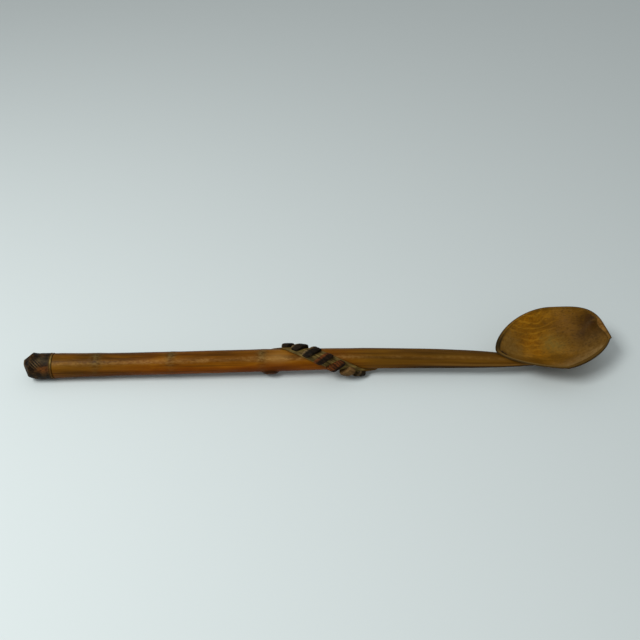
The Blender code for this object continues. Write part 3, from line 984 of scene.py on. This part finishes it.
def srgb(red, green, blue):
    """A colour as it is seen, 0 to 255, as a linear colour."""
    def linear(value):
        share = value / 255
        return share / 12.92 if share <= 0.04045 else ((share + 0.055) / 1.055)**2.4
    return linear(red), linear(green), linear(blue), 1.0


class Finish:
    """A finish built from nodes that read the grain and the marks written on a mesh."""

    def __init__(self, name):
        self.material = bpy.data.materials.new(name)
        self.material.use_nodes = True
        self.tree = self.material.node_tree
        self.base = None

    def fill(self, node, inputs):
        """Set a node's inputs, each from another node's socket, a value or a colour as it is seen."""
        for key, value in inputs.items():
            socket = node.inputs[key]
            if isinstance(value, bpy.types.NodeSocket):
                self.tree.links.new(value, socket)
            else:
                socket.default_value = srgb(*value) if socket.type == "RGBA" else value

    def node(self, kind, inputs, **settings):
        made = self.tree.nodes.new("ShaderNode" + kind)
        for name, value in settings.items():
            setattr(made, name, value)
        self.fill(made, inputs)
        return made

    def mark(self, name):
        return self.node("Attribute", {}, attribute_name=name).outputs["Fac"]

    def grain(self, stretch):
        read = self.node("Attribute", {}, attribute_name="grain")
        return self.node("Mapping", {"Vector": read.outputs["Vector"], "Scale": stretch}).outputs["Vector"]

    def cloud(self, stretch, detail=3.0, roughness=0.55, distortion=0.0):
        inputs = {"Scale": 1.0, "Detail": detail, "Roughness": roughness, "Distortion": distortion}
        return self.node("TexNoise", {"Vector": self.grain(stretch), **inputs}).outputs["Fac"]

    def cross(self, along, across, up=0.0):
        """A straight measure through the grain, for lines and rings."""
        inputs = {0: self.grain((1, 1, 1)), 1: (along, across, up)}
        return self.node("VectorMath", inputs, operation="DOT_PRODUCT").outputs["Value"]

    def calc(self, how, first, second=0.0):
        return self.node("Math", {0: first, 1: second}, operation=how).outputs[0]

    def times(self, first, second):
        return self.calc("MULTIPLY", first, second)

    def span(self, value, low, high, start=0.0, end=1.0):
        """A value taken from low..high to start..end and held there."""
        inputs = {"Value": value, "From Min": low, "From Max": high, "To Min": start, "To Max": end}
        return self.node("MapRange", inputs, interpolation_type="SMOOTHSTEP").outputs["Result"]

    def ramp(self, value, *stops):
        made = self.node("ValToRGB", {"Fac": value})
        elements = made.color_ramp.elements
        while len(elements) < len(stops):
            elements.new(1.0)
        for element, (place, colour) in zip(elements, stops):
            element.position = place
            element.color = srgb(*colour)
        return made.outputs["Color"]

    def lay(self, share, colour):
        """Lay a colour over the base."""
        self.base = self.node("Mix", {0: share, 6: self.base, 7: colour}, data_type="RGBA").outputs[2]

    def tint(self, mark, strength, colour):
        """Lay a colour over the base where a mark lies. The mark is a name or a value."""
        share = self.mark(mark) if isinstance(mark, str) else mark
        self.lay(self.times(share, strength), colour)

    def done(self, roughness, *bumps, gloss=0.05):
        """The finished material. Its bumps lie one on another, each a height and its distance in metres."""
        inputs = {"Base Color": self.base, "Roughness": roughness, "Specular IOR Level": gloss}
        normal = {}
        for height, distance in bumps:
            made = self.node("Bump", {"Height": height, "Distance": distance, **normal})
            normal = {"Normal": made.outputs["Normal"]}
        self.fill(self.tree.nodes["Principled BSDF"], {**inputs, **normal})
        return self.material


def stick_finish():
    wood = Finish("patinated_stick")
    fibre = wood.cloud((16, 620, 620), detail=4)
    streak = wood.cloud((22, 230, 230), detail=4, roughness=0.6, distortion=0.3)
    blotch = wood.cloud((45, 110, 110), detail=4)
    scuff = wood.cloud((420, 900, 900), detail=2, roughness=0.6)
    wood.base = wood.ramp(
        streak,
        (0.34, (78, 42, 2)),
        (0.45, (106, 61, 3)),
        (0.55, (120, 71, 4)),
        (0.68, (144, 94, 15)),
    )
    wood.lay(wood.span(blotch, 0.44, 0.62, 0.0, 0.6), (100, 50, 1))
    wood.tint("lower", 0.7, wood.ramp(streak, (0.4, (92, 38, 0)), (0.62, (120, 57, 0))))
    wood.lay(wood.span(fibre, 0.5, 0.68, 0.0, 0.6), (66, 36, 4))
    aged = wood.span(blotch, 0.3, 0.6, 0.35, 0.75)
    wood.tint("butt", aged, wood.ramp(streak, (0.4, (64, 42, 6)), (0.6, (104, 70, 14))))
    wood.tint("shank", 0.75, wood.ramp(fibre, (0.38, (96, 67, 13)), (0.62, (74, 49, 8))))
    # Painted shade darkening the handle's top, against the lamp's light from above.
    wood.tint("upper", 0.3, wood.ramp(streak, (0.4, (60, 40, 10)), (0.6, (100, 66, 16))))
    # Painted shade along the far side and the top edge of the handle.
    wood.tint("far_side", 0.65, (50, 36, 12))
    # The painted highlight along the upper front, broken into flecks, with small dark flecks inside it.
    scuffed = wood.times(wood.span(scuff, 0.4, 0.62, 0.35, 1.0), wood.span(blotch, 0.36, 0.56, 0.175, 0.7))
    wood.tint("shine", scuffed, (164, 126, 68))
    wood.tint("shine", wood.span(scuff, 0.5, 0.38, 0.0, 0.12), (62, 38, 8))
    patchy = wood.span(blotch, 0.3, 0.6, 0.4275, 0.95)
    wood.tint("node", patchy, wood.ramp(scuff, (0.4, (38, 32, 14)), (0.6, (94, 80, 44))))
    # Painted highlight on the swelling past the last node.
    wood.tint("knot", 0.45, (160, 120, 62))
    wood.tint("beside_band", 0.6, (66, 42, 10))
    # Painted reflected light along the shank's lower front edge, then painted shade on its underside.
    wood.tint("edge_light", 0.5, (140, 100, 44))
    wood.tint("under_edge", 0.8, (36, 28, 14))
    wood.tint("stub", 0.7, (70, 40, 10))
    # Painted shade round the stub's edge.
    wood.tint("stub_side", 0.85, (32, 19, 6))
    rough = wood.calc("ADD", wood.span(scuff, 0.4, 0.7, 0.32, 0.5), wood.times(wood.mark("shank"), 0.14))
    return wood.done(rough, (fibre, 0.00025), (scuff, 0.00012), (blotch, 0.0003), gloss=0.04)


def cap_finish():
    wood = Finish("dark_cap")
    mottle = wood.cloud((180, 300, 300), detail=5, roughness=0.65)
    fibre = wood.cloud((60, 620, 620), detail=3)
    hatch_up = wood.calc("SINE", wood.cross(3300, 2600, 2000))
    hatch_down = wood.calc("SINE", wood.cross(3300, -2600, -2000))
    hatch = wood.calc("MAXIMUM", hatch_up, wood.times(hatch_down, 0.72))
    hatched = wood.times(wood.span(hatch, 0.55, 0.95), wood.mark("hatch"))
    wood.base = wood.ramp(mottle, (0.42, (9, 6, 3)), (0.52, (30, 20, 9)), (0.63, (66, 46, 22)))
    wood.tint("low", 0.9, wood.ramp(mottle, (0.4, (56, 32, 13)), (0.58, (114, 66, 24))))
    wood.tint("grey", 0.75, wood.ramp(mottle, (0.4, (56, 47, 31)), (0.6, (98, 85, 57))))
    wood.lay(wood.span(fibre, 0.5, 0.68, 0.0, 0.6), (26, 16, 7))
    wood.lay(wood.mark("hatch"), (18, 12, 6))
    wood.tint(hatched, 0.6, (142, 112, 66))
    wood.tint("wear", 0.4, (106, 76, 34))
    wood.tint("end", 0.45, (104, 76, 32))
    rough = wood.span(mottle, 0.3, 0.7, 0.4, 0.62)
    return wood.done(rough, (mottle, 0.0004), (hatched, 0.0002), (fibre, 0.00015))


def collar_finish():
    wood = Finish("pale_ring")
    fibre = wood.cloud((200, 300, 300), detail=4)
    wood.base = wood.ramp(fibre, (0.38, (84, 64, 26)), (0.62, (122, 100, 52)))
    wood.tint("low", 0.85, (76, 46, 12))
    wood.tint("dirt", 0.9, (50, 34, 14))
    return wood.done(wood.span(fibre, 0.3, 0.7, 0.45, 0.6), (fibre, 0.0002))


def band_finish():
    wood = Finish("olive_strip")
    fibre = wood.cloud((160, 620, 300), detail=4)
    blotch = wood.cloud((160, 200, 200), detail=4)
    wood.base = wood.ramp(fibre, (0.38, (74, 60, 26)), (0.5, (104, 86, 42)), (0.64, (136, 112, 60)))
    wood.lay(wood.span(blotch, 0.48, 0.66, 0.0, 0.6), (82, 72, 38))
    wood.tint("wear", 0.6, (158, 130, 78))
    wood.tint("under_lug", 0.45, (48, 34, 14))
    wood.tint("tail", 0.8, (92, 60, 16))
    return wood.done(wood.span(blotch, 0.3, 0.7, 0.5, 0.68), (fibre, 0.0003), (blotch, 0.0002))


def lug_finish(name, low, high, arris, bare):
    wood = Finish(name)
    char = wood.cloud((420, 420, 420), detail=5, roughness=0.65)
    fibre = wood.cloud((160, 700, 500), detail=3)
    wood.base = wood.ramp(char, (0.34, low), (0.66, high))
    notch = wood.calc("SINE", wood.calc("ADD", wood.cross(0, 2300), wood.times(char, 3.0)))
    lines = wood.times(wood.span(notch, -0.1, -0.95, 0.0, 0.7), wood.mark("notched"))
    ridges = wood.calc("SUBTRACT", 1.0, lines)
    wood.tint("bare", wood.times(wood.span(char, 0.36, 0.56, 0.35, 1.0), ridges), bare)
    wood.tint(wood.span(wood.mark("wear"), 0.25, 0.6), wood.span(char, 0.4, 0.6, 0.0, 0.55), arris)
    wood.lay(wood.span(fibre, 0.48, 0.64, 0.0, 0.6), low)
    return wood.done(wood.span(char, 0.3, 0.7, 0.42, 0.62), (char, 0.0005), (fibre, 0.0003), (ridges, 0.0003))


def bowl_finish():
    wood = Finish("carved_bowl_wood")
    warp = wood.cloud((60, 90, 90), detail=3)
    fibre = wood.cloud((40, 420, 420), detail=4)
    blotch = wood.cloud((70, 110, 110), detail=5, roughness=0.6)
    mottle = wood.cloud((320, 420, 420), detail=4, roughness=0.65)
    speck = wood.cloud((700, 900, 900), detail=2)
    pores = wood.cloud((520, 1300, 1300), detail=2)
    rings = wood.calc("ADD", wood.times(wood.mark("arcs"), 1.8), wood.times(warp, 13.0))
    arcs = wood.times(wood.span(wood.calc("SINE", rings), 0.3, 1.0), wood.mark("arc_area"))
    wood.base = wood.ramp(blotch, (0.38, (96, 64, 10)), (0.5, (114, 77, 14)), (0.62, (129, 91, 31)))
    wood.tint("arc_area", 0.75, wood.ramp(blotch, (0.38, (134, 87, 5)), (0.6, (184, 126, 18))))
    wood.tint("glow", 0.7, wood.ramp(mottle, (0.4, (132, 80, 2)), (0.6, (178, 116, 8))))
    wood.tint(arcs, 0.5, (186, 132, 30))
    wood.lay(wood.span(fibre, 0.5, 0.7, 0.0, 0.3), (92, 62, 14))
    wood.lay(wood.span(mottle, 0.46, 0.68, 0.0, 0.5), (88, 60, 16))
    wood.tint("worn_floor", wood.span(mottle, 0.35, 0.6, 0.375, 0.75), (113, 97, 43))
    wood.tint("heel_pale", 0.75, wood.ramp(mottle, (0.4, (116, 86, 34)), (0.6, (146, 114, 56))))
    wood.tint("ruddy", 0.5, wood.ramp(mottle, (0.4, (104, 70, 28)), (0.6, (128, 90, 44))))
    wood.tint("tip_end", 0.8, wood.ramp(mottle, (0.4, (68, 47, 15)), (0.6, (100, 74, 32))))
    # Painted light on the near inner wall, where the lamp leaves it in shade.
    wood.tint("near_wall", 0.75, wood.ramp(mottle, (0.4, (126, 100, 56)), (0.6, (154, 126, 80))))
    wood.tint("tip_half", wood.span(pores, 0.5, 0.66, 0.0, 0.42), (60, 42, 16))
    stained = wood.span(mottle, 0.36, 0.54, 0.57, 0.95)
    wood.tint("stain", stained, wood.ramp(mottle, (0.42, (22, 13, 4)), (0.6, (60, 36, 10))))
    wood.tint(wood.calc("SUBTRACT", 1.0, wood.mark("inside")), 0.6, (86, 58, 15))
    wood.lay(wood.span(speck, 0.58, 0.72, 0.0, 0.4), (66, 46, 16))
    wood.tint("rim", 0.25, (104, 78, 30))
    wood.tint("near_rim", 0.7, (80, 57, 14))
    wood.tint("crossing_rim", 0.5, (122, 100, 58))
    wood.tint("heel", 0.9, (28, 26, 15))
    wood.tint("lip", 0.95, wood.ramp(mottle, (0.4, (104, 70, 24)), (0.58, (156, 112, 54))))
    # Painted shade along the rim's two edges.
    wood.tint("rim_line", 0.9, (42, 30, 10))
    rough = wood.span(mottle, 0.3, 0.7, 0.45, 0.62)
    return wood.done(rough, (fibre, 0.00025), (mottle, 0.0003), (arcs, 0.0001))


def peg_finish():
    wood = Finish("dark_peg")
    fibre = wood.cloud((500, 900, 900), detail=3)
    wood.base = wood.ramp(fibre, (0.35, (30, 20, 10)), (0.65, (70, 46, 22)))
    return wood.done(wood.span(fibre, 0.3, 0.7, 0.45, 0.65), (fibre, 0.0003))


# The spoon

def make_spoon():
    rods = {name: peg_rods(turn) for name, turn in (("far", PEG_TURN_FAR), ("near", PEG_TURN_NEAR))}
    holes = [add_piece(name + "_hole", hole) for name, (_, hole) in rods.items()]
    seat = add_piece("seat", seat_skin())
    handle = carve_handle([*holes, seat])
    bowl = carve_bowl(holes)
    for cutter in [*holes, seat]:
        bpy.data.objects.remove(cutter)
    settle(handle, stick_finish(), "stick_wood", "handle_shaft")
    settle(bowl, bowl_finish(), "bowl_wood", "bowl", sharp=50)
    settle(carve_cap(), cap_finish(), "cap_wood", "butt_cap", sharp=50)
    settle(carve_collar(), collar_finish(), "collar_wood", "cap_collar")
    settle(wind_band(), band_finish(), "band_wood", "spiral_band")
    burnt = lug_finish("burnt_lug", (10, 8, 5), (40, 30, 18), (110, 88, 54), (118, 96, 62))
    reddened = lug_finish("reddened_lug", (12, 8, 5), (38, 25, 14), (104, 72, 40), (108, 58, 22))
    worn = lug_finish("worn_lug", (70, 50, 26), (112, 84, 48), (128, 100, 62), (112, 84, 48))
    for number in range(1, LUG_COUNT + 1):
        finish, slot = burnt, "lug_burnt"
        if number in LUG_REDDENED:
            finish = reddened
        if number == LUG_WORN:
            finish, slot = worn, "lug_worn"
        settle(carve_lug(number), finish, slot, f"band_lug_{number:02d}")
    pegs = peg_finish()
    for name, (rod, _) in rods.items():
        piece = add_piece(name + "_peg", rod)
        note_grain(piece, lambda point: (point.z, point.x, point.y))
        settle(piece, pegs, "peg_wood", "bowl_peg_" + name)


# Table, light and camera

CAMERA_TARGET = origin + Vector((0.175275, 0.00819, 0.010))
CAMERA_DISTANCE = 0.4817
CAMERA_ELEVATION = math.radians(41)
FOCAL_PIXELS = 800
PICTURE_PIXELS = 640
TARGET_BELOW_MIDDLE = 34.2
TABLE_HALF_SIZE = 4.0
TABLE_COLOUR = (0.62, 0.685, 0.68, 1)
TABLE_ROUGHNESS = 0.7
TABLE_GLOSS = 0.1
SKY_COLOUR = (0.98, 0.99, 1.0, 1)
SKY_STRENGTH = 0.45
LAMP_PLACE = Vector((-0.47, -0.3, 0.74))
LAMP_AIM = Vector((-0.2, -0.22, 0.0))
LAMP_SIZE = (0.48, 0.36)
LAMP_POWER = 6.1


def make_table():
    skin = bmesh.new()
    corners = [Vector(sides) * TABLE_HALF_SIZE for sides in ((-1, -1, 0), (1, -1, 0), (1, 1, 0), (-1, 1, 0))]
    skin.faces.new([skin.verts.new(corner) for corner in corners])
    table = add_piece("table_top", skin)
    paper = bpy.data.materials.new("pale_table")
    paper.use_nodes = True
    inputs = paper.node_tree.nodes["Principled BSDF"].inputs
    inputs["Base Color"].default_value = TABLE_COLOUR
    inputs["Roughness"].default_value = TABLE_ROUGHNESS
    inputs["Specular IOR Level"].default_value = TABLE_GLOSS
    table.data.materials.append(paper)


def make_light():
    world = bpy.data.worlds.new("soft_room")
    world.use_nodes = True
    sky = world.node_tree.nodes["Background"]
    sky.inputs["Color"].default_value = SKY_COLOUR
    sky.inputs["Strength"].default_value = SKY_STRENGTH
    scene.world = world
    data = bpy.data.lights.new("ceiling", "AREA")
    data.shape = "RECTANGLE"
    data.size, data.size_y = LAMP_SIZE
    data.energy = LAMP_POWER
    lamp = bpy.data.objects.new("ceiling", data)
    lamp.location = LAMP_PLACE
    lamp.rotation_euler = (LAMP_AIM - LAMP_PLACE).to_track_quat("-Z", "Y").to_euler()
    scene.collection.objects.link(lamp)


def make_camera():
    data = bpy.data.cameras.new("photo_camera")
    data.sensor_width = 36.0
    data.lens = FOCAL_PIXELS / PICTURE_PIXELS * data.sensor_width
    data.shift_y = TARGET_BELOW_MIDDLE / PICTURE_PIXELS
    camera = bpy.data.objects.new("photo_camera", data)
    back = Vector((0, -math.cos(CAMERA_ELEVATION), math.sin(CAMERA_ELEVATION)))
    camera.location = CAMERA_TARGET + CAMERA_DISTANCE * back
    camera.rotation_euler = (-back).to_track_quat("-Z", "Y").to_euler()
    scene.collection.objects.link(camera)
    scene.camera = camera


make_spoon()
make_table()
make_light()
make_camera()
scene.view_settings.view_transform = "Standard"
